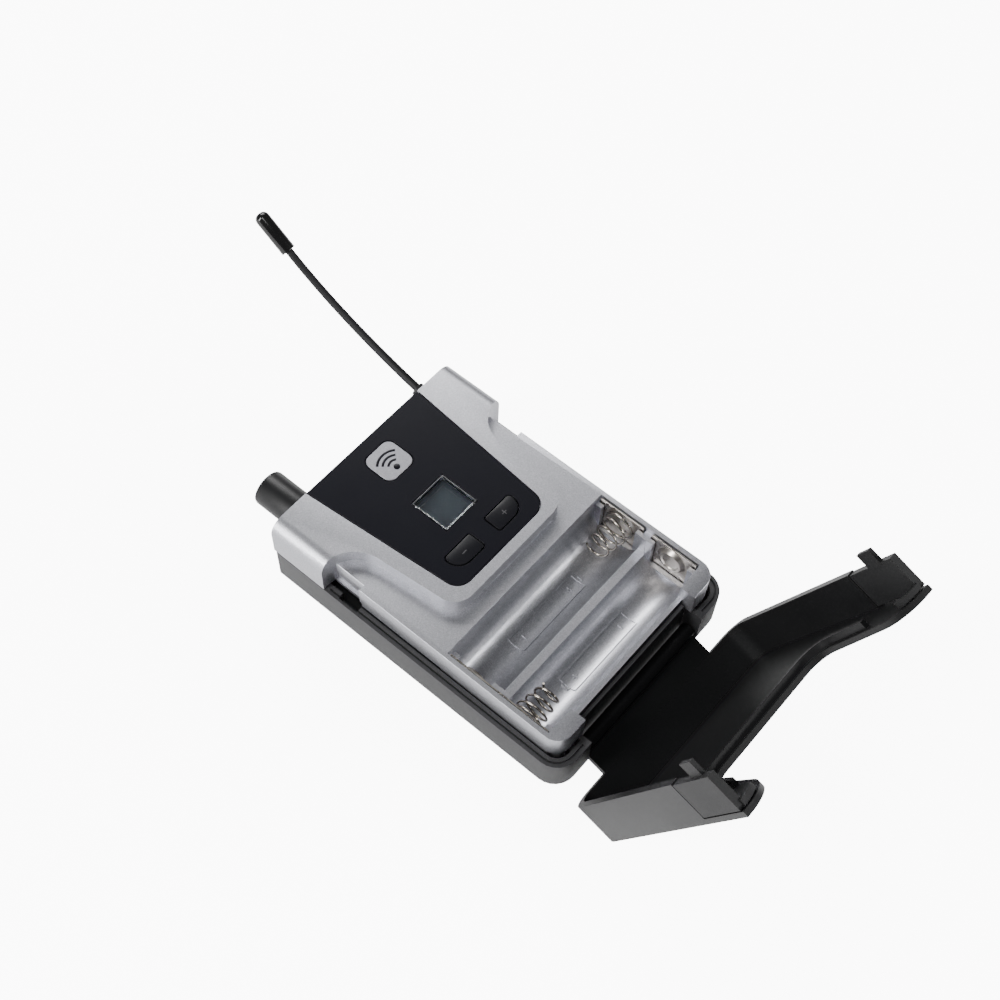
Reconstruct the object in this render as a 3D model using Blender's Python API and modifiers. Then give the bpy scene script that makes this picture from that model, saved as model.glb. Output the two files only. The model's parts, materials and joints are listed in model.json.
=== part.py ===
"""Wireless bodypack transmitter, lying on its belt clip with the battery door open.

Every piece is modelled in the pack's own frame: x across the pack, y from the
hinge end to the top end, z up from the back face. The frame hangs on an empty
that stands the clip's flat face on the ground at the world origin. Sizes are in
millimetres and are turned into metres where the meshes are made.
"""

import math

import bmesh
import bpy
from mathutils import Matrix, Vector

# ---------------------------------------------------------------- driving sizes

pack_width = 66.0
pack_length = 91.4
pack_height = 22.1
split_height = 10.5        # parting plane, and the middle of all that leaves the top end
gap = 0.3                  # between pieces that touch

# rear shell
rear_wall = 2.4
rear_floor = 2.0
rear_corner = 6.0
back_edge_round = 2.2
groove_inset = 0.9
groove_width = 0.5
groove_depth = 0.6

# front shell
shell_wall = 1.8
recess_depth = 3.8         # from the raised face down to the floor under the door
long_edge_round = 4.0
recess_edge_round = 1.3
lower_start = 3.0          # where the silver body begins behind the door's end wall
lower_corner = 4.5
shoulder_length = 16.9     # full-width part at the top end
shoulder_round = 9.6
shoulder_slope = 0.06
raised_from_bay = 4.35     # plain floor between the upper bay and the raised face
raised_inset_low = 13.0    # from the pack's side
raised_inset_high = 9.8
raised_round = 5.5
pocket_length = 9.5
pocket_depth = 1.7         # into the silver side, past the ledge
pocket_floor_inset = 1.0   # leaves room for the latch when it is pressed

# control panel and what sits in it
panel_thick = 1.0
panel_seat = 1.3
panel_margin_start = 3.0   # silver left round the panel
panel_margin_low = 4.0
panel_margin_high = 3.0
panel_round = 4.0
window_size = 11.0
window_from_key = 12.9
lcd_below_window = 2.1
badge_size = 9.4
badge_from_top = 8.9
badge_round = 2.2
key_inner = 2.9            # distance of a key's straight side from the middle
key_width = 9.0
key_length = 4.9
key_from_panel = 6.0
key_round = 3.7
key_travel = 0.35
key_play = 0.35

# cell bays
cell_radius = 7.35
bay_rib = 1.3              # thinnest wall between the two troughs
bay_first_wall = 4.35
bay_axis_z = 13.2
trough_wall = 1.2
rib_top = 10.6
bracket_top = 16.5
bay_end_wall = 1.3
slot_width = 1.05
bracket_thick = 1.15
contact_opening = 5.3      # half width of the opening in front of each contact
plate_thick = 0.4
plate_half = 6.7
spring_wire = 0.3
spring_wide = 4.1
spring_narrow = 2.7
spring_length = 9.4
spring_turns = 3

# door
door_wall = 2.0
door_plate = 1.5
door_clearance = 0.45
door_edge_round = 1.6
door_open_deg = 112.0
tongue_inset = 11.95
tongue_thick = 1.8
hinge_y = 2.5
hinge_z = 2.5
barrel_radius = 2.0
pin_radius = 0.75
hinge_wall = 1.0
notch_play = 0.15
lip_start = 1.5
lip_thick = 1.2
lip_end = 60.0

# latches
latch_from_shoulder = 17.3
latch_length = 16.2
latch_pivot_inset = 1.0
nose_from_shoulder = 9.5
nose_length = 4.8
nose_reach = 3.4
nose_thick = 1.1
pad_length = 4.6
pad_thick = 1.5

# top end fittings
knob_radius = 4.9
knob_length = 13.8
knob_inset = 12.2
shaft_radius = 2.0
jack_x = 3.0
jack_radius = 3.0
jack_bore = 1.85
collar_radius = 4.9
collar_length = 2.3
light_share = 0.4915       # of the way from the jack to the antenna
light_radius = 1.4
antenna_inset = 6.6
antenna_reach = 59.6
antenna_rise = 29.3
whip_radius = 1.2
whip_tip_radius = 1.1
tip_radius = 2.0
tip_length = 11.0

# boards
board_bottom = 6.4
board_thick = 1.2
board_inset = 6.1
board_from_bay = 3.45
display_board_half = 14.5
display_board_start_gap = 4.9   # ahead of the keys
display_board_end_gap = 5.2     # behind the window
display_board_thick = 1.0
roof_to_display_board = 4.8

# fasteners
screw_head_radius = 1.8
screw_head_height = 1.3
screw_radius = 0.8
top_screw_inset = 6.0
top_screw_from_end = 11.9
low_screw_inset = 5.8
low_screw_y = 5.8
board_screw_inset = 3.2
board_screw_from_end = 23.4

# belt clip
clip_standoff = 8.6
clip_thick = 2.0
clip_width = 24.0
clip_start = 23.6
clip_end = 86.0
clip_pivot_y = 70.0
clip_pivot_drop = 4.4
clip_pin_radius = 1.0
clip_ear_radius = 1.9
clip_tip_gap = 0.4
bracket_plate = 1.6
clip_face_middle = 55.0

# ------------------------------------------------------------- derived places

half_width = pack_width / 2
front_bottom = split_height + gap
recess_floor = pack_height - recess_depth
shoulder_y = pack_length - shoulder_length
lower_half = half_width - rear_wall - gap
pocket_start = shoulder_y - pocket_length
panel_floor = pack_height - panel_seat - 0.1
roof_under = panel_floor - shell_wall
bay_pitch = 2 * cell_radius + bay_rib
bay_lower_y = lower_start + bay_first_wall + cell_radius
bay_upper_y = bay_lower_y + bay_pitch
bay_half = lower_half - bay_end_wall
bay_top = bay_upper_y + cell_radius
raised_start = bay_top + raised_from_bay
raised_half_low = half_width - raised_inset_low
raised_half_high = half_width - raised_inset_high
panel_start = raised_start + panel_margin_start
panel_half_low = raised_half_low - panel_margin_low
panel_half_high = raised_half_high - panel_margin_high
key_y = panel_start + key_from_panel
window_y = key_y + window_from_key
tongue_half = half_width - tongue_inset
notch_half = tongue_half - notch_play
knob_x = knob_inset - half_width
antenna_x = half_width - antenna_inset
light_x = jack_x + light_share * (antenna_x - jack_x)
door_plate_under = pack_height - door_plate
rim_height = split_height + gap
latch_start = shoulder_y - latch_from_shoulder
latch_end = latch_start + latch_length
nose_start = shoulder_y - nose_from_shoulder
display_board_top = roof_under - roof_to_display_board + display_board_thick
board_top = board_bottom + board_thick
board_half = lower_half - board_inset
board_start = bay_top + board_from_bay
board_end = pack_length - 2.4
display_board_start = key_y - display_board_start_gap
display_board_end = window_y + window_size / 2 + display_board_end_gap
top_screw_x = half_width - top_screw_inset
low_screw_x = half_width - low_screw_inset
board_screw_x = board_half - board_screw_inset
board_screw_y = pack_length - board_screw_from_end
end_inside = pack_length - shell_wall
top_screw_y = pack_length - top_screw_from_end
clip_pivot_z = -clip_pivot_drop
clip_inner_z = clip_thick - clip_standoff

MILLIMETRE = 0.001
AXIS_TURNS = {
    "x": Matrix(((0, 0, 1, 0), (1, 0, 0, 0), (0, 1, 0, 0), (0, 0, 0, 1))),
    "y": Matrix(((1, 0, 0, 0), (0, 0, -1, 0), (0, 1, 0, 0), (0, 0, 0, 1))),
    "z": Matrix.Identity(4),
}
FINISHES = {
    "silver_shell": ((0.45, 0.45, 0.48), 0.38, 0.55),
    "black_shell": ((0.055, 0.055, 0.058), 0.6, 0.0),
    "black_panel": ((0.015, 0.015, 0.019), 0.3, 0.0),
    "clear_window": ((0.10, 0.12, 0.14), 0.08, 0.0),
    "silver_badge": ((0.42, 0.42, 0.45), 0.4, 0.5),
    "key_black": ((0.018, 0.018, 0.022), 0.35, 0.0),
    "door_black": ((0.03, 0.03, 0.033), 0.5, 0.0),
    "latch_black": ((0.04, 0.04, 0.043), 0.55, 0.0),
    "knob_black": ((0.02, 0.02, 0.022), 0.4, 0.0),
    "whip_rubber": ((0.03, 0.03, 0.032), 0.55, 0.0),
    "tip_gloss": ((0.012, 0.012, 0.014), 0.15, 0.0),
    "contact_nickel": ((0.55, 0.52, 0.48), 0.3, 1.0),
    "spring_steel": ((0.5, 0.48, 0.45), 0.28, 1.0),
    "screw_steel": ((0.2, 0.2, 0.21), 0.4, 1.0),
    "shield_tin": ((0.6, 0.6, 0.6), 0.35, 1.0),
    "board_green": ((0.01, 0.12, 0.05), 0.5, 0.0),
    "chip_black": ((0.02, 0.02, 0.02), 0.6, 0.0),
    "part_white": ((0.7, 0.7, 0.68), 0.5, 0.0),
    "glass_grey": ((0.12, 0.15, 0.17), 0.15, 0.0),
    "clear_pipe": ((0.7, 0.8, 0.75), 0.15, 0.0),
    "collar_nickel": ((0.6, 0.58, 0.55), 0.25, 1.0),
}


def mm(value):
    """Millimetres to metres."""
    return value * MILLIMETRE


# ------------------------------------------------------------------ scene set-up

for old_object in list(bpy.data.objects):
    bpy.data.objects.remove(old_object, do_unlink=True)

pieces = bpy.data.collections.new("bodypack_transmitter")
cutters = bpy.data.collections.new("bodypack_cutters")
bpy.context.scene.collection.children.link(pieces)
bpy.context.scene.collection.children.link(cutters)


def add_empty(name, parent=None, location=(0, 0, 0), turn_x_deg=0.0):
    """A guide that pieces hang on; location in millimetres in its parent."""
    empty = bpy.data.objects.new(name, None)
    empty.empty_display_size = mm(5)
    empty.parent = parent
    empty.location = [mm(value) for value in location]
    empty.rotation_euler = (math.radians(turn_x_deg), 0, 0)
    pieces.objects.link(empty)
    return empty


pack_frame = add_empty("pack_frame", None, (0, -clip_face_middle, clip_standoff))
door_frame = add_empty("door_frame", pack_frame, (0, hinge_y, hinge_z), door_open_deg)
bpy.context.view_layer.update()


# ------------------------------------------------------------------- outlines


def mirrored(half):
    """A whole outline from its right half, whose corners run from low y to high y."""
    return list(half) + [(-x, y, radius) for x, y, radius in reversed(half)]


def offset(corners, distance):
    """An anticlockwise outline moved outwards; round corners keep their centres."""
    moved = []
    count = len(corners)
    for index, (x, y, radius) in enumerate(corners):
        here = Vector((x, y))
        arriving = (here - Vector(corners[index - 1][:2])).normalized()
        leaving = (Vector(corners[(index + 1) % count][:2]) - here).normalized()
        first = Vector((arriving.y, -arriving.x))
        second = Vector((leaving.y, -leaving.x))
        shift = (first + second) * (distance / (1 + first.dot(second)))
        outward = arriving.x * leaving.y - arriving.y * leaving.x > 0
        grown = radius + distance if outward else radius - distance
        moved.append((x + shift.x, y + shift.y, max(grown, 0.05) if radius > 0 else 0))
    return moved


def rounded(corners, step_deg=15.0):
    """The points of an outline, with each corner that has a radius as an arc."""
    points = []
    count = len(corners)
    for index, (x, y, radius) in enumerate(corners):
        if radius <= 0:
            points.append((x, y))
            continue
        here = Vector((x, y))
        back = (Vector(corners[index - 1][:2]) - here).normalized()
        ahead = (Vector(corners[(index + 1) % count][:2]) - here).normalized()
        half_angle = back.angle(ahead) / 2
        centre = here + (back + ahead).normalized() * (radius / math.sin(half_angle))
        reach = radius / math.tan(half_angle)
        start = here + back * reach - centre
        end = here + ahead * reach - centre
        begin = math.atan2(start.y, start.x)
        sweep = math.atan2(end.y, end.x) - begin
        sweep = (sweep + math.pi) % (2 * math.pi) - math.pi
        steps = max(2, round(abs(math.degrees(sweep)) / step_deg))
        for step in range(steps + 1):
            angle = begin + sweep * step / steps
            points.append((centre.x + radius * math.cos(angle), centre.y + radius * math.sin(angle)))
    return points


def rectangle(x_range, y_range, radius=0.0):
    """An anticlockwise rectangle with round corners."""
    (x0, x1), (y0, y1) = x_range, y_range
    return [(x0, y0, radius), (x1, y0, radius), (x1, y1, radius), (x0, y1, radius)]


def arc(centre, radius, start_deg, end_deg, steps):
    """Points along an arc."""
    points = []
    for step in range(steps + 1):
        angle = math.radians(start_deg + (end_deg - start_deg) * step / steps)
        points.append((centre[0] + radius * math.cos(angle), centre[1] + radius * math.sin(angle)))
    return points


# --------------------------------------------------------------- solid builders


def mesh_object(name, bm):
    """Turn a bmesh in pack coordinates into an object on the pack frame."""
    mesh = bpy.data.meshes.new(name)
    bm.to_mesh(mesh)
    bm.free()
    made = bpy.data.objects.new(name, mesh)
    made.parent = pack_frame
    pieces.objects.link(made)
    return made


def box(name, x_range, y_range, z_range):
    """A box from its three ranges."""
    ranges = (x_range, y_range, z_range)
    sizes = [mm(high - low) for low, high in ranges]
    middle = [mm(low + high) / 2 for low, high in ranges]
    bm = bmesh.new()
    bmesh.ops.create_cube(bm, size=1.0, matrix=Matrix.Translation(middle) @ Matrix.Diagonal((*sizes, 1)))
    return mesh_object(name, bm)


def rod(name, axis, centre, span, radius, end_radius=None, sides=24):
    """A cylinder or cone along an axis; centre holds its other two coordinates in x, y, z order."""
    bm = bmesh.new()
    low, high = span
    bmesh.ops.create_cone(bm, cap_ends=True, segments=sides, radius1=mm(radius),
                          radius2=mm(radius if end_radius is None else end_radius), depth=mm(high - low))
    turns = {"x": Matrix.Rotation(math.pi / 2, 4, "Y"), "y": Matrix.Rotation(-math.pi / 2, 4, "X"),
             "z": Matrix.Identity(4)}
    middle = list(centre)
    middle.insert("xyz".index(axis), (low + high) / 2)
    bm.transform(Matrix.Translation([mm(value) for value in middle]) @ turns[axis])
    return mesh_object(name, bm)


def prism(name, points, span, axis="z"):
    """A flat outline given a thickness along an axis.

    The outline is drawn in x, y for axis z, in y, z for axis x and in x, z for axis y.
    """
    curve = bpy.data.curves.new(name, "CURVE")
    curve.dimensions = "2D"
    curve.fill_mode = "BOTH"
    curve.extrude = mm(span[1] - span[0]) / 2
    spline = curve.splines.new("POLY")
    spline.points.add(len(points) - 1)
    for target, (first, second) in zip(spline.points, points):
        target.co = (mm(first), mm(second), 0, 1)
    spline.use_cyclic_u = True
    drawn = bpy.data.objects.new(name, curve)
    pieces.objects.link(drawn)
    middle = mm(span[0] + span[1]) / 2
    drawn.matrix_world = AXIS_TURNS[axis] @ Matrix.Translation((0, 0, -middle if axis == "y" else middle))
    return solid_from_curve(name, drawn)


def solid_from_curve(name, drawn):
    """A welded mesh object made from a curve object, which is then removed."""
    bpy.context.view_layer.update()
    depsgraph = bpy.context.evaluated_depsgraph_get()
    mesh = bpy.data.meshes.new_from_object(drawn.evaluated_get(depsgraph))
    bm = bmesh.new()
    bm.from_mesh(mesh)
    bm.transform(drawn.matrix_world)
    bmesh.ops.remove_doubles(bm, verts=bm.verts, dist=0.000001)
    bmesh.ops.recalc_face_normals(bm, faces=bm.faces)
    bpy.data.meshes.remove(mesh)
    bpy.data.objects.remove(drawn, do_unlink=True)
    return mesh_object(name, bm)


def wire(name, points, radius, radii=None):
    """A round wire along points in millimetres; radii scale the thickness along it."""
    curve = bpy.data.curves.new(name, "CURVE")
    curve.dimensions = "3D"
    curve.bevel_depth = mm(radius)
    curve.bevel_resolution = 2
    curve.use_fill_caps = True
    spline = curve.splines.new("POLY")
    spline.points.add(len(points) - 1)
    for index, point in enumerate(points):
        spline.points[index].co = (*[mm(value) for value in point], 1)
        spline.points[index].radius = 1.0 if radii is None else radii[index]
    drawn = bpy.data.objects.new(name, curve)
    pieces.objects.link(drawn)
    return solid_from_curve(name, drawn)


def turned(name, profile, place, turn=None, steps=32):
    """A turned solid: profile (radius, height) runs down its outer side, about local z."""
    bm = bmesh.new()
    verts = [bm.verts.new((mm(radius), 0, mm(height))) for radius, height in profile]
    for first, second in zip(verts, verts[1:]):
        bm.edges.new((first, second))
    made = mesh_object(name, bm)
    screw = made.modifiers.new("turn", "SCREW")
    screw.steps = steps
    screw.render_steps = steps
    screw.use_merge_vertices = True
    screw.merge_threshold = 0.00001
    made.location = [mm(value) for value in place]
    if turn:
        made.rotation_euler = turn
    return made


def boolean(target, other, operation):
    """Cut, join or keep the overlap with another solid, which becomes a hidden cutter."""
    modifier = target.modifiers.new(operation.lower(), "BOOLEAN")
    modifier.operation = operation
    modifier.solver = "EXACT"
    modifier.object = other
    if other.name not in cutters.objects:
        pieces.objects.unlink(other)
        cutters.objects.link(other)
    other.hide_render = True
    other.display_type = "WIRE"


def cut(target, *others):
    for other in others:
        boolean(target, other, "DIFFERENCE")


def join(target, *others):
    for other in others:
        boolean(target, other, "UNION")


def keep(target, *others):
    for other in others:
        boolean(target, other, "INTERSECT")


def round_edges(target, wanted, radius, segments=3):
    """Round the edges whose two ends both pass a test on their place in millimetres."""
    bm = bmesh.new()
    bm.from_mesh(target.data)
    chosen = []
    for edge in bm.edges:
        ends = [[value / MILLIMETRE for value in vert.co] for vert in edge.verts]
        if all(wanted(*end) for end in ends) and edge.calc_face_angle(0) > math.radians(25):
            chosen.append(edge)
    bmesh.ops.bevel(bm, geom=chosen, offset=mm(radius), segments=segments, profile=0.5,
                    affect="EDGES", clamp_overlap=True)
    bm.to_mesh(target.data)
    bm.free()


def finish(target, finish_name, origin=None, frame=None):
    """Give a piece its material and smooth shading, and put its origin on its joint's axis."""
    if finish_name not in bpy.data.materials:
        colour, roughness, metallic = FINISHES[finish_name]
        material = bpy.data.materials.new(finish_name)
        material.use_nodes = True
        shader = material.node_tree.nodes["Principled BSDF"]
        shader.inputs["Base Color"].default_value = (*colour, 1)
        shader.inputs["Roughness"].default_value = roughness
        shader.inputs["Metallic"].default_value = metallic
    target.data.materials.clear()
    target.data.materials.append(bpy.data.materials[finish_name])
    if target.data.polygons:
        target.data.shade_smooth()
        target.data.set_sharp_from_angle(angle=math.radians(32))
    if origin:
        shift_origin(target, origin, frame or pack_frame)
    return target


def shift_origin(target, origin, frame):
    """Move a piece's own origin to a point of the pack frame, and hang it on a frame there."""
    offset_back = Matrix.Translation([-mm(value) for value in origin])
    target.data.transform(offset_back @ target.matrix_basis)
    target.matrix_basis = Matrix.Identity(4)
    target.parent = frame
    if frame is not door_frame:
        target.location = [mm(value) for value in origin]
    elif origin != hinge_point:
        target.location = [mm(value - base) for value, base in zip(origin, hinge_point)]


hinge_point = (0, hinge_y, hinge_z)


def both_sides(build):
    """Build something for the right (+1) and the left (-1) side."""
    return [build(side) for side in (1, -1)]


def sided(side, low, high):
    """An x range given for the right side, turned to the side asked for."""
    return (low, high) if side > 0 else (-high, -low)


SIDE_NAMES = {1: "right", -1: "left"}

# ------------------------------------------------------------- shared outlines

raised_corners = mirrored([
    (raised_half_low, raised_start, raised_round),
    (raised_half_high, shoulder_y, shoulder_round),
    (half_width, shoulder_y + shoulder_slope, 0),
    (half_width, pack_length, 0),
])
lower_corners = mirrored([
    (lower_half, lower_start, lower_corner),
    (lower_half, pocket_start, 0),
    (lower_half - pocket_depth, pocket_start, 0),
    (lower_half - pocket_depth, shoulder_y + 5, 0),
])
outer_corners = mirrored([
    (half_width, 0, rear_corner),
    (half_width, pack_length, 1.0),
])
panel_corners = mirrored([
    (panel_half_low, panel_start, panel_round),
    (panel_half_high, pack_length, 0),
])


def key_corners(side):
    """A key's D outline: straight towards the middle, one large round corner outside."""
    low_y, high_y = key_y - key_length / 2, key_y + key_length / 2
    inner, outer = key_inner, key_inner + key_width
    corners = [(inner, low_y, 0.5), (outer, low_y, key_round), (outer, high_y, 0.9), (inner, high_y, 0.5)]
    if side > 0:
        return corners
    return [(-x, y, radius) for x, y, radius in reversed(corners)]


def bay_section(centre_y, radius, top):
    """A trough's section in y, z: half round below its axis, straight sides above."""
    points = arc((centre_y, bay_axis_z), radius, 180, 360, 20)
    return points + [(centre_y + radius, top), (centre_y - radius, top)]


def latch_slot(side):
    """Where a latch's nose drops through the ledge."""
    inner = lower_half - 0.4
    outer = half_width - 0.7
    return box(f"cut_latch_slot_{SIDE_NAMES[side]}", sided(side, inner, outer),
               (nose_start - 0.6, nose_start + nose_length + 0.6),
               (rim_height - nose_reach - 0.5, front_bottom + 1.6))


def end_holes(prefix):
    """Round holes in the top end wall, one for each fitting."""
    places = {"shaft": (knob_x, shaft_radius + 0.4), "jack": (jack_x, jack_radius + gap),
              "light": (light_x, light_radius + gap), "antenna": (antenna_x, whip_radius + 0.45)}
    return [rod(f"cut_{prefix}_{name}_hole", "y", (x, split_height), (end_inside - 1.5, pack_length + 1), radius)
            for name, (x, radius) in places.items()]


# ------------------------------------------------------------------ rear shell


def build_rear_shell():
    shell = prism("rear_shell", rounded(outer_corners), (0, split_height))
    round_edges(shell, lambda x, y, z: z < 0.01, back_edge_round)
    inside = prism("cut_rear_inside", rounded(mirrored([
        (half_width - rear_wall, rear_wall, rear_corner - rear_wall),
        (half_width - rear_wall, end_inside, 0.8),
    ])), (rear_floor, split_height + 2))
    cut(shell, inside)
    wall_back = hinge_y + barrel_radius + 0.4
    cheeks = box("add_hinge_cheeks", (-tongue_half - 3.6, tongue_half + 3.6), (1.2, wall_back + hinge_wall),
                 (0.6, split_height - 4.6))
    cheek_tops = box("add_hinge_cheek_tops", (-tongue_half - 1.6, tongue_half + 1.6),
                     (1.1, wall_back + hinge_wall - 0.04), (4.0, split_height - 0.05))
    high_wall = box("add_hinge_wall", (-notch_half + 0.4, notch_half - 0.4),
                    (wall_back - 0.5, wall_back + hinge_wall - 0.08), (3.7, split_height + 1.7))
    join(shell, cheeks, cheek_tops, high_wall)
    notch = box("cut_hinge_notch", (-tongue_half - 0.35, tongue_half + 0.35), (-1, wall_back),
                (-1, split_height + 4))
    pin_hole = rod("cut_rear_pin_hole", "x", (hinge_y, hinge_z), (-tongue_half - 3.25, tongue_half + 3.25),
                   pin_radius + gap, sides=16)
    cut(shell, notch, pin_hole)
    for side in (1, -1):
        for x, y, height in ((top_screw_x, top_screw_y, 4.7), (low_screw_x, low_screw_y, 4.7)):
            tag = f"{SIDE_NAMES[side]}_{'top' if y > 40 else 'low'}"
            join(shell, rod(f"add_screw_post_{tag}", "z", (side * x, y), (1.0, height), 2.5, sides=20))
            cut(shell, rod(f"cut_screw_head_{tag}", "z", (side * x, y), (-1, 1.8), screw_head_radius + gap),
                rod(f"cut_screw_through_{tag}", "z", (side * x, y), (1, height + 1), screw_radius + 0.4, sides=16))
        join(shell, rod(f"add_board_post_{SIDE_NAMES[side]}", "z", (side * board_screw_x, board_screw_y),
                        (1.0, board_bottom - gap), 2.2, sides=20))
        cut(shell, rod(f"cut_board_post_{SIDE_NAMES[side]}", "z", (side * board_screw_x, board_screw_y),
                       (rear_floor + 0.5, board_bottom + 1), screw_radius + 0.25, sides=16))
    for index, y in enumerate(clip_screw_places):
        join(shell, rod(f"add_clip_post_{index}", "z", (0, y), (1.0, 5.6), 2.6, sides=20))
        cut(shell, rod(f"cut_clip_post_{index}", "z", (0, y), (-1, 5.0), screw_radius + 0.4, sides=16))
    groove = prism("cut_ledge_groove", rounded(offset(outer_corners, -groove_inset)),
                   (split_height - groove_depth, split_height + 3))
    cut(groove, prism("cut_groove_core", rounded(offset(outer_corners, -groove_inset - groove_width)),
                      (split_height - 2, split_height + 4)))
    cut(groove, box("cut_groove_notch", (-tongue_half - 2, tongue_half + 2), (-1, 8),
                    (split_height - 2, split_height + 4)))
    cut(groove, box("cut_groove_end", (-half_width - 1, half_width + 1), (shoulder_y - 1, pack_length + 1),
                    (split_height - 2, split_height + 4)))
    cut(shell, groove)
    cut(shell, *both_sides(latch_slot))
    cut(shell, *end_holes("rear"))
    return finish(shell, "black_shell")


# ----------------------------------------------------------------- front shell


def corner_rounder(side):
    """The waste outside the round long edge of the full-width part."""
    edge, top, radius = half_width, pack_height, long_edge_round
    points = arc((edge - radius, top - radius), radius, 90, 0, 6)
    points += [(edge + 1, top - radius), (edge + 1, top + 1), (edge - radius, top + 1)]
    points = [(side * x, z) for x, z in points]
    return prism(f"cut_long_edge_{SIDE_NAMES[side]}", points, (shoulder_y - 14, pack_length + 2), "y")


def bay_cutters():
    """Everything that opens the two cell bays and the places of their contacts."""
    made = []
    for name, y in (("lower", bay_lower_y), ("upper", bay_upper_y)):
        inner_end = bay_half - slot_width - bracket_thick
        made.append(prism(f"cut_bay_{name}", bay_section(y, cell_radius, pack_height + 2),
                          (-inner_end, inner_end), "x"))
        for side in (1, -1):
            made.append(box(f"cut_contact_window_{name}_{SIDE_NAMES[side]}",
                            sided(side, inner_end - 0.2, bay_half - slot_width + 0.1),
                            (y - contact_opening, y + contact_opening), (bay_axis_z - 6.2, pack_height + 1)))
    plate_bottom = bay_axis_z - 6.6
    slot = (bay_half - slot_width, bay_half)
    for name, y in (("lower", bay_lower_y), ("upper", bay_upper_y)):
        made.append(box(f"cut_plate_slot_{name}", slot, (y - plate_half - gap, y + plate_half + gap),
                        (plate_bottom, pack_height + 1)))
    made.append(box("cut_plate_slot_bridge", sided(-1, *slot),
                    (bay_lower_y - plate_half - gap, bay_upper_y + plate_half + gap),
                    (plate_bottom, pack_height + 1)))
    return made


def build_front_shell():
    shell = prism("front_shell", rounded(raised_corners, 7.5), (front_bottom - 2, pack_height))
    lower = prism("add_lower_body", rounded(lower_corners), (front_bottom - 3, recess_floor))
    round_edges(lower, lambda x, y, z: z > recess_floor - 0.01, recess_edge_round)
    join(shell, lower)
    cut(shell, box("cut_front_bottom", (-half_width - 3, half_width + 3), (-3, pack_length + 3),
                   (front_bottom - 8, front_bottom)))
    cut(shell, *both_sides(corner_rounder))
    for name, y in (("lower", bay_lower_y), ("upper", bay_upper_y)):
        outside = arc((y, bay_axis_z), cell_radius + trough_wall, 180, 360, 14)
        join(shell, prism(f"add_trough_{name}", outside, (-lower_half + 0.3, lower_half - 0.3), "x"))
    for side in (1, -1):
        join(shell, box(f"add_bay_end_{SIDE_NAMES[side]}", sided(side, bay_half - 2.8, lower_half - 0.2),
                        (bay_lower_y - cell_radius - 0.9, bay_top + 1.1), (bay_axis_z - 8.4, front_bottom + 1.2)))
    low_inside = prism("cut_low_inside", rounded(mirrored([
        (lower_half - 1.6, bay_top + 2.1, 0.8),
        (lower_half - 1.6, pocket_start - 1.6, 0),
        (lower_half - pocket_depth - 1.6, pocket_start - 1.6, 0),
        (lower_half - pocket_depth - 1.6, shoulder_y + 3, 0),
    ])), (front_bottom - 2, recess_floor - 1.6))
    high_inside = prism("cut_high_inside", rounded(offset(raised_corners, -shell_wall), 10),
                        (front_bottom - 2.1, roof_under))
    cut(shell, low_inside, high_inside)
    for side in (1, -1):
        tag = SIDE_NAMES[side]
        join(shell, box(f"add_pocket_floor_{tag}",
                        sided(side, lower_half - pocket_depth - 1.1, lower_half - pocket_floor_inset),
                        (pocket_start - 1.5, shoulder_y + 0.9), (front_bottom + 0.01, front_bottom + 1.2)))
        join(shell, rod(f"add_top_boss_{tag}", "z", (side * top_screw_x, top_screw_y),
                        (5.3, roof_under + 0.8), 2.3, sides=20))
        join(shell, rod(f"add_low_boss_{tag}", "z", (side * low_screw_x, low_screw_y),
                        (5.3, front_bottom + 1.4), 2.1, sides=20))
        cut(shell, rod(f"cut_top_pilot_{tag}", "z", (side * top_screw_x, top_screw_y),
                       (4, 14.5), screw_radius + gap, sides=16),
            rod(f"cut_low_pilot_{tag}", "z", (side * low_screw_x, low_screw_y),
                (4, 14.0), screw_radius + gap, sides=16))
    cut(shell, *bay_cutters())
    inner_end = bay_half - slot_width - bracket_thick
    middle_y = (bay_lower_y + bay_upper_y) / 2
    cut(shell, box("cut_rib_top", (-inner_end + 0.1, inner_end - 0.1), (middle_y - 3, middle_y + 3),
                   (rib_top, pack_height + 2)))
    for side in (1, -1):
        cut(shell, box(f"cut_bracket_top_{SIDE_NAMES[side]}", sided(side, inner_end - 0.1, bay_half - 0.05),
                       (bay_lower_y - cell_radius + 0.05, bay_top - 0.05), (bracket_top, pack_height + 2)))
    cut(shell, box("cut_tongue_notch", (-notch_half, notch_half),
                   (lower_start - 1, bay_lower_y - cell_radius - trough_wall),
                   (front_bottom - 1, recess_floor + 1)))
    cut(shell, box("cut_low_wall_top", (-notch_half, notch_half),
                   (lower_start - 1, bay_lower_y - cell_radius + 1), (bay_axis_z + 0.3, recess_floor + 1)))
    cut(shell, prism("cut_panel_seat", rounded(offset(panel_corners, gap)), (panel_floor, pack_height + 1)))
    half = window_size / 2 + 0.4
    cut(shell, box("cut_display_opening", (-half, half), (window_y - half, window_y + half),
                   (roof_under - 2, pack_height + 1)))
    for side in (1, -1):
        cut(shell, prism(f"cut_key_opening_{SIDE_NAMES[side]}", rounded(offset(key_corners(side), key_play)),
                         (roof_under - 2, pack_height + 1)))
    cut(shell, *both_sides(latch_slot_front))
    cut(shell, *end_holes("front"))
    return finish(shell, "silver_shell")


def latch_slot_front(side):
    """The same slot through the silver floor of the pocket."""
    made = latch_slot(side)
    made.name = f"cut_front_latch_slot_{SIDE_NAMES[side]}"
    return made


# ------------------------------------------------------- control panel and keys


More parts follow.
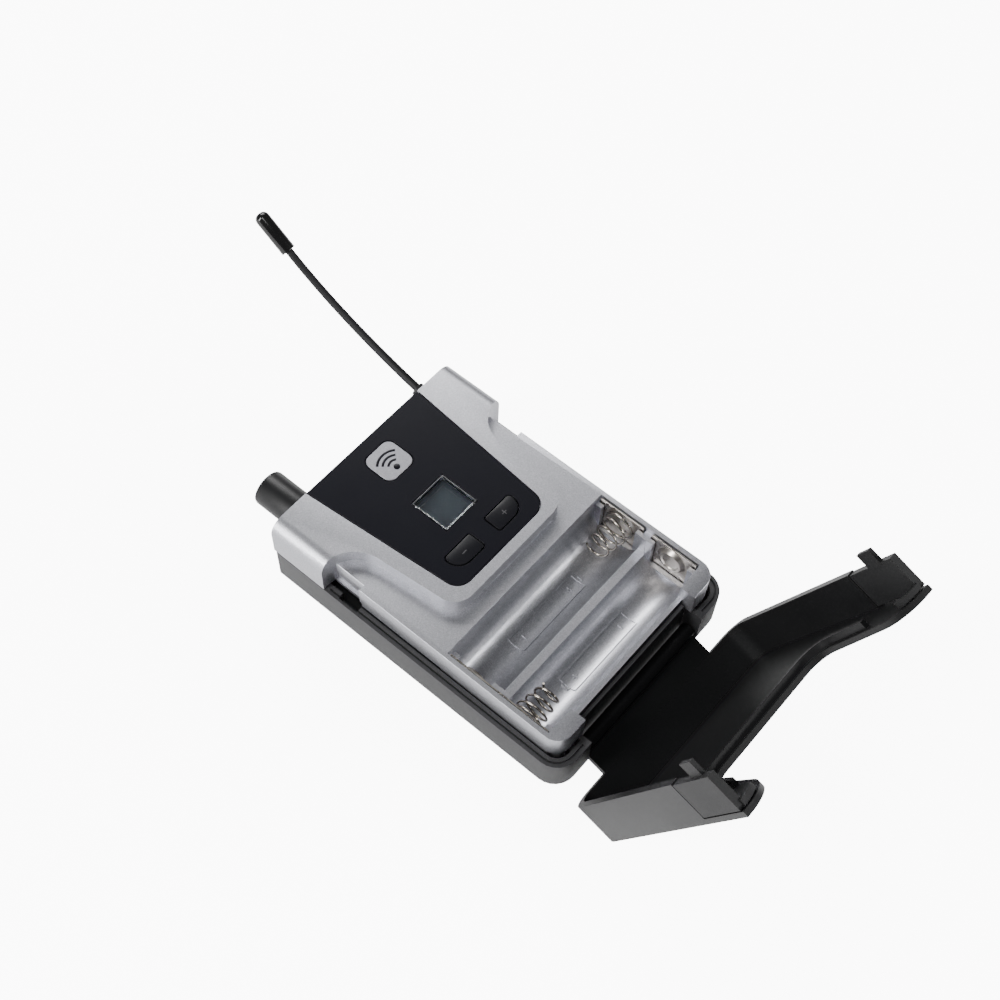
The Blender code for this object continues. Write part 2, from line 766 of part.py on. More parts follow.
def build_panel():
    top = panel_floor + gap + panel_thick
    panel = prism("control_panel", rounded(panel_corners), (panel_floor + gap, top))
    hole = window_size / 2 + gap
    cut(panel, box("cut_window_hole", (-hole, hole), (window_y - hole, window_y + hole),
                   (panel_floor, top + 1)))
    for side in (1, -1):
        cut(panel, prism(f"cut_panel_key_{SIDE_NAMES[side]}", rounded(offset(key_corners(side), key_play)),
                         (panel_floor, top + 1)))
    badge_y = pack_length - badge_from_top
    reach = badge_size / 2
    seat = rectangle((-reach - gap, reach + gap), (badge_y - reach - gap, badge_y + reach + gap),
                     badge_round + gap)
    cut(panel, prism("cut_badge_seat", rounded(seat), (top - 0.75, top + 1)))
    finish(panel, "black_panel")

    badge = prism("badge_plate", rounded(rectangle((-reach, reach), (badge_y - reach, badge_y + reach),
                                                   badge_round)), (top - 0.45, top + 0.03))
    finish(badge, "silver_badge")

    half = window_size / 2
    window = box("display_window", (-half, half), (window_y - half, window_y + half),
                 (panel_floor + gap - 0.5, top + 0.02))
    round_edges(window, lambda x, y, z: z > top, 0.25, 1)
    finish(window, "clear_window")

    for side, name in ((1, "button_plus"), (-1, "button_minus")):
        cap = prism(name, rounded(key_corners(side)), (roof_under - 0.7, top + 0.15))
        round_edges(cap, lambda x, y, z: z > top + 0.1, 0.3, 2)
        finish(cap, "key_black", (side * (key_inner + key_width / 2), key_y, top))


# ------------------------------------------------------------------- cell bays


def contact_plate(name, side, y_range):
    """A flat nickelled plate standing in its slot."""
    middle = bay_half - slot_width / 2
    return box(name, sided(side, middle - plate_thick / 2, middle + plate_thick / 2), y_range,
               (bay_axis_z - 6.6 + gap, bay_axis_z + 4.6))


def contact_boss(name, side, y):
    """The raised button that meets a cell's positive end."""
    face = bay_half - slot_width / 2 - plate_thick / 2 + 0.05
    turn = (0, -side * math.pi / 2, 0)
    profile = [(0, 0.75), (2.3, 0.75), (2.7, 1.05), (3.2, 1.05), (3.7, 0.6), (4.1, 0.0), (0, 0.0)]
    return turned(name, profile, (side * face, y, bay_axis_z), turn, 28)


def contact_spring(name, side, y):
    """A conical spring: one flat turn on its plate, then turns that narrow to the free end."""
    base = bay_half - slot_width / 2 - plate_thick / 2 - 0.35 - spring_wire
    per_turn = 18
    total = (spring_turns + 1) * per_turn
    points = []
    for step in range(total + 1):
        along = max(0.0, (step - per_turn * 0.7) / (total - per_turn * 0.7))
        radius = spring_wide + (spring_narrow - spring_wide) * along
        angle = 2 * math.pi * step / per_turn
        x = base - (spring_length - 2 * spring_wire) * along - 0.62 * min(step / per_turn, 1.0)
        points.append((side * x, y + radius * math.cos(angle), bay_axis_z + radius * math.sin(angle)))
    return finish(wire(name, points, spring_wire), "spring_steel")


def build_contacts():
    negative = contact_plate("negative_plate", 1, (bay_upper_y - plate_half, bay_upper_y + plate_half))
    finish(negative, "contact_nickel")
    positive = contact_plate("positive_plate", 1, (bay_lower_y - plate_half, bay_lower_y + plate_half))
    join(positive, contact_boss("add_positive_boss", 1, bay_lower_y))
    finish(positive, "contact_nickel")
    bridge = contact_plate("bridge_plate", -1, (bay_lower_y - plate_half, bay_upper_y + plate_half))
    join(bridge, contact_boss("add_bridge_boss", -1, bay_upper_y))
    finish(bridge, "contact_nickel")
    contact_spring("battery_spring_upper", 1, bay_upper_y)
    contact_spring("battery_spring_lower", -1, bay_lower_y)


# ------------------------------------------------------------ door and latches


def hang_on_door(target):
    """Put a door piece or one of its cutters, modelled closed, on the turned door frame."""
    target.data.transform(Matrix.Translation([-mm(value) for value in hinge_point]) @ target.matrix_basis)
    target.matrix_basis = Matrix.Identity(4)
    target.parent = door_frame
    return target


def build_door():
    door = prism("battery_door", rounded(outer_corners), (rim_height, pack_height))
    round_edges(door, lambda x, y, z: z > pack_height - 0.01, door_edge_round)
    hang_on_door(door)
    inside = prism("cut_door_inside", rounded(offset(outer_corners, -door_wall)),
                   (rim_height - 2, door_plate_under))
    cutout = prism("cut_door_cutout", rounded(offset(raised_corners, door_clearance), 7.5),
                   (rim_height - 3, pack_height + 2))
    beyond = box("cut_door_beyond", (-half_width - 1, half_width + 1), (shoulder_y + 5, pack_length + 2),
                 (rim_height - 3, pack_height + 2))
    latch_room = box("cut_latch_room", (-half_width - 1, half_width + 1), (latch_start - gap, shoulder_y + 6),
                     (rim_height - 3, door_plate_under))
    cut(door, hang_on_door(inside), hang_on_door(cutout), hang_on_door(beyond), hang_on_door(latch_room))
    lip = prism("add_door_lip", rounded(offset(raised_corners, lip_start + lip_thick), 10),
                (recess_floor + 0.4, door_plate_under + 0.5))
    lip_core = prism("cut_lip_core", rounded(offset(raised_corners, lip_start), 10),
                     (recess_floor - 2, door_plate_under + 3))
    lip_limit = box("cut_lip_limit", (-half_width - 9, half_width + 9), (lip_end, pack_length + 9),
                    (recess_floor - 2, door_plate_under + 3))
    cut(hang_on_door(lip), hang_on_door(lip_core), hang_on_door(lip_limit))
    tongue = box("add_tongue", (-tongue_half, tongue_half), (door_wall - tongue_thick, door_wall - 0.02),
                 (hinge_z, rim_height + 2))
    barrel = rod("add_barrel", "x", (hinge_y, hinge_z), (-tongue_half, tongue_half), barrel_radius)
    join(door, lip, hang_on_door(tongue), hang_on_door(barrel))
    bore = rod("cut_barrel_bore", "x", (hinge_y, hinge_z), (-tongue_half - 1, tongue_half + 1),
               pin_radius + gap, sides=16)
    cut(door, hang_on_door(bore))
    finish(door, "door_black")

    pin = rod("hinge_pin", "x", (hinge_y, hinge_z), (-tongue_half - 2.9, tongue_half + 2.9), pin_radius,
              sides=16)
    finish(pin, "screw_steel")


def build_latch(side):
    """A side latch: plate in the door's side, nose through the ledge, pad turned inwards."""
    tag = SIDE_NAMES[side]
    inner = half_width - door_wall
    top = door_plate_under - gap
    plate = box(f"latch_{tag}", sided(side, inner, half_width), (latch_start, latch_end), (rim_height + 0.3, top))
    nose_x = inner - 0.1
    nose = box(f"add_nose_{tag}", sided(side, nose_x, nose_x + nose_thick),
               (nose_start, nose_start + nose_length), (rim_height - nose_reach, rim_height + 1))
    pad = prism(f"add_pad_{tag}", rounded(offset(raised_corners, door_clearance + 0.3 + pad_thick), 10),
                (top - pad_thick, top - 0.05))
    keep(pad, box(f"keep_pad_{tag}", sided(side, inner - pad_length, inner + 0.6),
                  (latch_end - 8, shoulder_y + 3), (top - 5, top + 2)))
    cut(pad, prism(f"cut_pad_{tag}", rounded(offset(raised_corners, door_clearance + 0.3), 10),
                   (top - 5, top + 2)))
    trim = prism(f"cut_latch_end_{tag}", rounded(offset(raised_corners, door_clearance + 0.3), 10),
                 (rim_height - 1, top + 2))
    pivot = (side * (half_width - latch_pivot_inset), latch_start + 1.5, (rim_height + top) / 2)
    for item in (plate, nose, pad, trim, *[modifier.object for modifier in pad.modifiers]):
        hang_on_door(item)
    join(plate, nose, pad)
    cut(plate, trim)
    finish(plate, "latch_black")
    local = Matrix.Translation([-mm(value - base) for value, base in zip(pivot, hinge_point)])
    plate.data.transform(local)
    plate.location = [mm(value - base) for value, base in zip(pivot, hinge_point)]


# --------------------------------------------------------------- top end pieces


def build_knob():
    start = pack_length + 0.5
    end = start + knob_length
    body = (knob_x - 4.9, knob_x + 4.9)
    pot = box("level_pot_body", body, (end_inside - 7.1, end_inside - gap), (board_top + gap, split_height + 4.9))
    cut(pot, rod("cut_pot_hole", "y", (knob_x, split_height), (end_inside - 3.0, end_inside + 1),
                 shaft_radius + gap))
    finish(pot, "chip_black")
    shaft = rod("level_pot_shaft", "y", (knob_x, split_height), (end_inside - 2.7, start + 9.0), shaft_radius)
    finish(shaft, "part_white", (knob_x, pack_length, split_height))
    bore = shaft_radius + gap
    profile = [(0, knob_length), (knob_radius - 0.6, knob_length), (knob_radius - 0.15, knob_length - 0.2),
               (knob_radius, knob_length - 0.7), (knob_radius, 0.5), (knob_radius - 0.4, 0),
               (bore, 0), (bore, 9.4), (0, 9.4)]
    knob = turned("level_knob", profile, (knob_x, start, split_height), (-math.pi / 2, 0, 0), 40)
    finish(knob, "knob_black")
    return end


def build_jack():
    body = box("jack_socket", (jack_x - 4.3, jack_x + 4.3), (end_inside - 13.5, end_inside - gap),
               (board_top + gap, split_height + 3.2))
    join(body, rod("add_jack_nose", "y", (jack_x, split_height), (end_inside - 2, pack_length + collar_length - 0.3),
                   jack_radius))
    cut(body, rod("cut_jack_bore", "y", (jack_x, split_height), (end_inside - 11, pack_length + 4), jack_bore))
    finish(body, "chip_black")
    collar = rod("jack_collar", "y", (jack_x, split_height), (pack_length + gap, pack_length + gap + collar_length),
                 collar_radius, sides=36)
    cut(collar, rod("cut_collar_bore", "y", (jack_x, split_height), (pack_length - 1, pack_length + 6),
                    jack_radius + gap))
    finish(collar, "collar_nickel")


def whip_point(share):
    """The whip's middle line: it leaves straight and then bends upwards."""
    rise = 0.737 * share ** 1.2 + 0.263 * share ** 3.5
    return (antenna_x, pack_length + antenna_reach * share, split_height + antenna_rise * rise)


def along_whip(start, end, count):
    return [Vector(whip_point(start + (end - start) * step / count)) for step in range(count + 1)]


def build_antenna():
    whole = antenna_reach + tip_length * 0.2
    tip_share = 1 - tip_length / whole * 0.88
    route = [Vector((antenna_x, end_inside - 6, split_height)), Vector((antenna_x, pack_length - 1, split_height))]
    route += along_whip(0.02, tip_share, 22)
    radii = [1 - (1 - whip_tip_radius / whip_radius) * index / (len(route) - 1) for index in range(len(route))]
    finish(wire("antenna_whip", route, whip_radius, radii), "whip_rubber")

    flange = [(0, 5.0), (1.9, 5.0), (2.05, 1.5), (2.4, 1.1), (2.6, 0.4), (2.6, 0), (0, 0)]
    lean = math.atan2(whip_point(0.1)[2] - whip_point(0.0)[2], antenna_reach * 0.1)
    collar = turned("antenna_collar", flange, (antenna_x, pack_length + gap + 0.35, split_height + 0.1),
                    (-math.pi / 2 + lean * 0.7, 0, 0), 28)
    cut(collar, wire("cut_collar_route", route[:8], whip_radius + gap))
    finish(collar, "whip_rubber")

    start = tip_share + gap / whole
    cap = along_whip(start, 1.0, 9)
    cap_radii = [0.92] + [1.0] * 7 + [0.92, 0.7]
    finish(wire("antenna_tip", cap, tip_radius, cap_radii), "tip_gloss")

    clip = box("antenna_clip", (antenna_x - 5.6, antenna_x - 2.1), (end_inside - 6.5, end_inside - 2.5),
               (board_top + gap, board_top + gap + 0.4))
    blade = box("add_clip_blade", (antenna_x - 2.3, antenna_x - 1.9 + 0.25), (end_inside - 6.4, end_inside - 2.6),
                (board_top + gap + 0.1, split_height + 1.8))
    join(clip, blade)
    finish(clip, "contact_nickel")


def build_light():
    pipe = rod("light_pipe", "y", (light_x, split_height), (end_inside - 1.2, pack_length + 0.3), light_radius)
    finish(pipe, "clear_pipe")
    led = box("status_led", (light_x - 1.6, light_x + 1.6), (end_inside - 4.1, end_inside - 1.5),
              (board_top + gap, split_height + 1.2))
    finish(led, "part_white")


# ----------------------------------------------------------------------- boards


def build_boards():
    board = box("main_board", (-board_half, board_half), (board_start, board_end - 1.8), (board_bottom, board_top))
    for side in (1, -1):
        cut(board, rod(f"cut_board_hole_{SIDE_NAMES[side]}", "z", (side * board_screw_x, board_screw_y),
                       (board_bottom - 1, board_top + 1), screw_radius + gap, sides=16))
    finish(board, "board_green")
    top = display_board_top
    small = box("display_board", (-display_board_half, display_board_half),
                (display_board_start, display_board_end), (top - display_board_thick, top))
    finish(small, "board_green")
    header = box("board_header", (-13.5, -6), (display_board_end - 5.0, display_board_end - 1.5),
                 (board_top + gap, top - display_board_thick - gap))
    finish(header, "chip_black")

    half = window_size / 2 + 2.6
    lcd_top = roof_under - 0.5
    lcd = box("lcd_module", (-half, half), (window_y - half + 0.8, window_y + half - 0.8), (top + 1.2, lcd_top))
    face = window_size / 2 - 0.1
    join(lcd, box("add_lcd_face", (-face, face), (window_y - face, window_y + face),
                  (lcd_top - 0.5, panel_floor - lcd_below_window)))
    finish(lcd, "glass_grey")
    frame = box("lcd_frame", (-half - 1.6, half + 1.6), (window_y - half - 0.6, window_y + half + 0.6),
                (top + gap, lcd_top - 0.4))
    cut(frame, box("cut_lcd_frame", (-half - gap, half + gap), (window_y - half + 0.5, window_y + half - 0.5),
                   (top + 0.9, lcd_top + 1)))
    finish(frame, "part_white")

    for side, name in ((1, "tact_switch_plus"), (-1, "tact_switch_minus")):
        x = side * (key_inner + key_width / 2)
        switch = box(name, (x - 2.6, x + 2.6), (key_y - 2.4, key_y + 1.6), (top + gap, roof_under - 2.0))
        join(switch, rod(f"add_plunger_{name}", "z", (x, key_y), (roof_under - 2.6, roof_under - 1.25), 1.2,
                         sides=16))
        finish(switch, "chip_black")

    low = board_top + gap
    blocks = {
        "rf_shield": ((-17, -3), (board_start + 2.5, board_start + 23.5), (low, low + 2.7), "shield_tin"),
        "controller_chip": ((2, 9), (board_start + 4.5, board_start + 11.5), (low, low + 1.1), "chip_black"),
        "audio_chip": ((11, 16), (board_start + 18.5, board_start + 24.5), (low, low + 1.1), "chip_black"),
        "crystal_can": ((3, 8), (board_start + 16.5, board_start + 18.7), (low, low + 1.5), "shield_tin"),
    }
    for name, (x_range, y_range, z_range, colour) in blocks.items():
        block = box(name, x_range, y_range, z_range)
        round_edges(block, lambda x, y, z, level=z_range[1]: z > level - 0.01, 0.25, 1)
        finish(block, colour)
    finish(rod("power_inductor", "z", (14.5, board_start + 8.5), (low, low + 3.4), 3.0), "chip_black")
    finish(rod("filter_capacitor", "z", (12.5, board_start + 29.5), (low, low + 4.6), 2.4), "shield_tin")


# -------------------------------------------------------------------- fasteners

clip_screw_places = (clip_pivot_y - 6.5, clip_pivot_y + 9.0)


def screw(name, place, head_radius, head_height, shank, upside_down=False):
    """A screw with its head at the low end, or at the high end when it is turned over."""
    profile = [(0, shank), (screw_radius * 0.6, shank), (screw_radius, shank - 0.6), (screw_radius, 0),
               (head_radius, 0), (head_radius, -head_height + 0.3), (head_radius - 0.4, -head_height),
               (0, -head_height)]
    turn = (math.pi, 0, 0) if upside_down else None
    return finish(turned(name, profile, place, turn, 16), "screw_steel")


def build_screws():
    head_level = 0.2 + screw_head_height
    places = [(top_screw_x, top_screw_y), (-top_screw_x, top_screw_y), (low_screw_x, low_screw_y),
              (-low_screw_x, low_screw_y)]
    for index, (x, y) in enumerate(places):
        screw(f"housing_screw_{index + 1}", (x, y, head_level), screw_head_radius, screw_head_height, 10.0)
    for side in (1, -1):
        screw(f"board_screw_{SIDE_NAMES[side]}", (side * board_screw_x, board_screw_y, board_top + gap),
              1.7, 1.1, 4.6, True)
    for index, y in enumerate(clip_screw_places):
        screw(f"clip_screw_{index + 1}", (0, y, -gap - bracket_plate - gap), 2.0, 1.1, 6.6)


# --------------------------------------------------------------------- belt clip


def build_clip():
    half = clip_width / 2
    base_z = (-gap - bracket_plate, -gap)
    bracket = prism("clip_bracket", rounded(rectangle((-11, 11), (clip_pivot_y - 10, clip_pivot_y + 12.5), 2)),
                    base_z)
    for side in (1, -1):
        ear = arc((clip_pivot_y, clip_pivot_z), clip_ear_radius, 180, 360, 10)
        ear += [(clip_pivot_y + clip_ear_radius, base_z[0] + 0.5), (clip_pivot_y - clip_ear_radius, base_z[0] + 0.5)]
        join(bracket, prism(f"add_bracket_ear_{SIDE_NAMES[side]}", ear, sided(side, 6.6, 8.4), "x"))
    for index, y in enumerate(clip_screw_places):
        cut(bracket, rod(f"cut_bracket_hole_{index}", "z", (0, y), (base_z[0] - 1, 1), screw_radius + 0.4, sides=16))
    cut(bracket, rod("cut_bracket_pin", "x", (clip_pivot_y, clip_pivot_z), (-12, 12), clip_pin_radius + gap,
                     sides=16))
    finish(bracket, "black_shell")

    pin = rod("clip_pin", "x", (clip_pivot_y, clip_pivot_z), (-11, 11), clip_pin_radius, sides=16)
    finish(pin, "screw_steel")

    low = -clip_standoff
    profile = rounded([
        (clip_start + 1.0, low, 2.4), (clip_end, low, 0.7), (clip_end, clip_inner_z, 0.7),
        (clip_start + 3.0, clip_inner_z, 1.2), (clip_start + 1.7, -clip_tip_gap, 0.5),
        (clip_start, -clip_tip_gap, 0.5),
    ])
    lever = prism("belt_clip", profile, (-half, half), "x")
    for side in (1, -1):
        cheek = arc((clip_pivot_y, clip_pivot_z), 2.2, 0, 180, 10)
        cheek += [(clip_pivot_y - 2.8, clip_inner_z - 0.5), (clip_pivot_y + 2.8, clip_inner_z - 0.5)]
        join(lever, prism(f"add_clip_cheek_{SIDE_NAMES[side]}", cheek, sided(side, 8.9, 10.7), "x"))
    cut(lever, rod("cut_clip_pin", "x", (clip_pivot_y, clip_pivot_z), (-13, 13), clip_pin_radius + gap, sides=16))
    keep(lever, prism("keep_clip_plan", rounded(rectangle((-half - 0.01, half + 0.01),
                                                          (clip_start - 0.01, clip_end + 0.01), 5)),
                      (low - 1, 1)))
    finish(lever, "latch_black")

    coil_radius = clip_pin_radius + gap + 0.27
    per_turn = 12
    turns = 5
    points = [(-5.0, clip_pivot_y - 9, clip_pivot_z + coil_radius)]
    for step in range(turns * per_turn + per_turn // 2 + 1):
        angle = math.pi / 2 - 2 * math.pi * step / per_turn
        x = -5.0 + 10.0 * step / (turns * per_turn + per_turn // 2)
        points.append((x, clip_pivot_y + coil_radius * math.cos(angle), clip_pivot_z + coil_radius * math.sin(angle)))
    points.append((5.0, clip_pivot_y - 9, clip_pivot_z - coil_radius))
    finish(wire("clip_spring", points, 0.22), "spring_steel")


build_rear_shell()
build_front_shell()
build_panel()
build_contacts()
build_door()
both_sides(build_latch)
build_knob()
build_jack()
build_antenna()
build_light()
build_boards()
build_screws()
build_clip()
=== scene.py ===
import json
import math

import bpy
from mathutils import Matrix, Vector

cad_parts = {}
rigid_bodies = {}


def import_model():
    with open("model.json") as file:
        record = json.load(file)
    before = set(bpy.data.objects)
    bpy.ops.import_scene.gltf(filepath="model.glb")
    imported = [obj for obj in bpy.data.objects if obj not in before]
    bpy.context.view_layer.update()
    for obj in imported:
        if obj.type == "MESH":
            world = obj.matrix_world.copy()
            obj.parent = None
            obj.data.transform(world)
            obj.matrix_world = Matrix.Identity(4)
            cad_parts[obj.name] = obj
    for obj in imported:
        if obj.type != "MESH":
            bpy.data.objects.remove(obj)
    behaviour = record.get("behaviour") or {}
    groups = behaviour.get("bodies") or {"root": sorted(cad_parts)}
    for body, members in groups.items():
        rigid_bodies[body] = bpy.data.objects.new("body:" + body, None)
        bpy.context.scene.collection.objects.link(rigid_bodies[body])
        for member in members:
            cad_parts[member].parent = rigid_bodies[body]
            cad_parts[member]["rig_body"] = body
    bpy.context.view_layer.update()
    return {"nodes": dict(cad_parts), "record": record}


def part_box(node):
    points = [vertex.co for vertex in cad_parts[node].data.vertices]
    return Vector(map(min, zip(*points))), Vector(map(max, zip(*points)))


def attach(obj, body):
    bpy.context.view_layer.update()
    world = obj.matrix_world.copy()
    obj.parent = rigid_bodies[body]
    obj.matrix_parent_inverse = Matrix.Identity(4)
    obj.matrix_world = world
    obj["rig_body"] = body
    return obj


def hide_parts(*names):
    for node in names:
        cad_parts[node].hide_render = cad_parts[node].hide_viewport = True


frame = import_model()
nodes = frame["nodes"]
slotOf = {part["node"]: part["material_slot"] for part in frame["record"]["subparts"]}
mil = 0.001  # a millimetre

# the view: turn about the upright axis, height above the horizon, roll, and where it aims
camera = {
    "azimuth": -51.55, "elevation": 60.51, "roll": 2.34,
    "aim": (0.0, -0.0042, 0.0198), "distance": 0.3809,
    "lens": 55.41, "sensor": 36, "shift": (0.0144, 0.0555), "clip": (0.01, 20),
}


def placeCamera():
    azimuth, elevation = math.radians(camera["azimuth"]), math.radians(camera["elevation"])
    level = math.cos(elevation)
    back = Vector((math.sin(azimuth) * level, -math.cos(azimuth) * level, math.sin(elevation)))
    right = (-back).cross(Vector((0, 0, 1))).normalized()
    up = right.cross(-back)
    roll = math.radians(camera["roll"])
    turnedRight = right * math.cos(roll) + up * math.sin(roll)
    turnedUp = up * math.cos(roll) - right * math.sin(roll)
    lens = bpy.data.cameras.new("studioCamera")
    lens.lens = camera["lens"]
    lens.sensor_width = camera["sensor"]
    lens.shift_x, lens.shift_y = camera["shift"]
    lens.clip_start, lens.clip_end = camera["clip"]
    seen = bpy.data.objects.new("studioCamera", lens)
    bpy.context.scene.collection.objects.link(seen)
    place = Vector(camera["aim"]) + back * camera["distance"]
    turn = Matrix((turnedRight, turnedUp, back)).transposed().to_4x4()
    seen.matrix_world = Matrix.Translation(place) @ turn
    bpy.context.scene.camera = seen


# small helpers for the shader nodes


def linkUp(tree, start, end):
    tree.links.new(start, end)


def addNode(tree, kind, **settings):
    # in_Some_Name sets the socket "Some Name", any other setting is the node's own
    node = tree.nodes.new(kind)
    for key, value in settings.items():
        if key.startswith("in_"):
            node.inputs[key[3:].replace("_", " ")].default_value = value
        else:
            setattr(node, key, value)
    return node


def addMix(tree, amount, first, second):
    # a colour mix: its factor and two colours are inputs 0, 6 and 7, its colour is output 2
    mix = addNode(tree, "ShaderNodeMix", data_type="RGBA")
    linkUp(tree, amount, mix.inputs[0])
    linkUp(tree, first, mix.inputs[6])
    linkUp(tree, second, mix.inputs[7])
    return mix.outputs[2]


def addRange(tree, value, **limits):
    spread = addNode(tree, "ShaderNodeMapRange", **limits)
    linkUp(tree, value, spread.inputs["Value"])
    return spread


def startGroup(name, inputs, outputs):
    tree = bpy.data.node_groups.new(name, "ShaderNodeTree")
    for label, kind, value in inputs:
        tree.interface.new_socket(name=label, in_out="INPUT", socket_type=kind).default_value = value
    for label, kind in outputs:
        tree.interface.new_socket(name=label, in_out="OUTPUT", socket_type=kind)
    return tree, tree.nodes.new("NodeGroupInput").outputs, tree.nodes.new("NodeGroupOutput").inputs


# moulded skin: how fine the grain and clouds are, and how much of the clouds' range is used
skinPattern = {"grainDetail": 3.0, "grainRough": 0.6, "cloudDetail": 4.0, "cloudRough": 0.55,
               "cloudLow": 0.2, "cloudHigh": 0.8}


def makeMouldedSkin():
    # fine grain drives the bump, slow clouds drive colour and gloss
    tree, given, out = startGroup("mouldedSkin", [
        ("Colour", "NodeSocketColor", (0.1, 0.1, 0.1, 1)),
        ("Tint", "NodeSocketColor", (0.12, 0.12, 0.12, 1)),
        ("Grain Size", "NodeSocketFloat", 3000.0),
        ("Cloud Size", "NodeSocketFloat", 60.0),
        ("Roughness Low", "NodeSocketFloat", 0.4),
        ("Roughness High", "NodeSocketFloat", 0.5),
    ], [("Colour", "NodeSocketColor"), ("Roughness", "NodeSocketFloat"), ("Height", "NodeSocketFloat")])
    coords = tree.nodes.new("ShaderNodeTexCoord")
    grain = addNode(tree, "ShaderNodeTexNoise", in_Detail=skinPattern["grainDetail"],
                    in_Roughness=skinPattern["grainRough"])
    clouds = addNode(tree, "ShaderNodeTexNoise", in_Detail=skinPattern["cloudDetail"],
                     in_Roughness=skinPattern["cloudRough"])
    for noise, size in ((grain, "Grain Size"), (clouds, "Cloud Size")):
        linkUp(tree, coords.outputs["Object"], noise.inputs["Vector"])
        linkUp(tree, given[size], noise.inputs["Scale"])
    used = {"in_From_Min": skinPattern["cloudLow"], "in_From_Max": skinPattern["cloudHigh"]}
    spread = addRange(tree, clouds.outputs["Fac"], **used)
    gloss = addRange(tree, clouds.outputs["Fac"], **used)
    linkUp(tree, given["Roughness Low"], gloss.inputs["To Min"])
    linkUp(tree, given["Roughness High"], gloss.inputs["To Max"])
    linkUp(tree, addMix(tree, spread.outputs["Result"], given["Colour"], given["Tint"]), out["Colour"])
    linkUp(tree, gloss.outputs["Result"], out["Roughness"])
    linkUp(tree, grain.outputs["Fac"], out["Height"])
    return tree


# flake paint: from what share of the cells' range on a flake turns bright or dark
flakePattern = {"brightFrom": 0.55, "darkFrom": 0.6}


def makeFlakePaint():
    # metal flakes in paint: each small cell has its own shade and height
    tree, given, out = startGroup("flakePaint", [
        ("Colour", "NodeSocketColor", (0.5, 0.5, 0.52, 1)),
        ("Bright Flake", "NodeSocketColor", (0.8, 0.8, 0.82, 1)),
        ("Dark Flake", "NodeSocketColor", (0.3, 0.3, 0.32, 1)),
        ("Flake Size", "NodeSocketFloat", 3500.0),
    ], [("Colour", "NodeSocketColor"), ("Height", "NodeSocketFloat")])
    coords = tree.nodes.new("ShaderNodeTexCoord")
    cells = addNode(tree, "ShaderNodeTexVoronoi", in_Randomness=1.0)
    linkUp(tree, coords.outputs["Object"], cells.inputs["Vector"])
    linkUp(tree, given["Flake Size"], cells.inputs["Scale"])
    parts = tree.nodes.new("ShaderNodeSeparateColor")
    linkUp(tree, cells.outputs["Color"], parts.inputs["Color"])
    bright = addRange(tree, parts.outputs[0], in_From_Min=flakePattern["brightFrom"])
    dark = addRange(tree, parts.outputs[1], in_From_Min=flakePattern["darkFrom"])
    shade = addMix(tree, bright.outputs["Result"], given["Colour"], given["Bright Flake"])
    linkUp(tree, addMix(tree, dark.outputs["Result"], shade, given["Dark Flake"]), out["Colour"])
    linkUp(tree, parts.outputs[2], out["Height"])
    return tree


mouldedSkin = makeMouldedSkin()
flakePaint = makeFlakePaint()

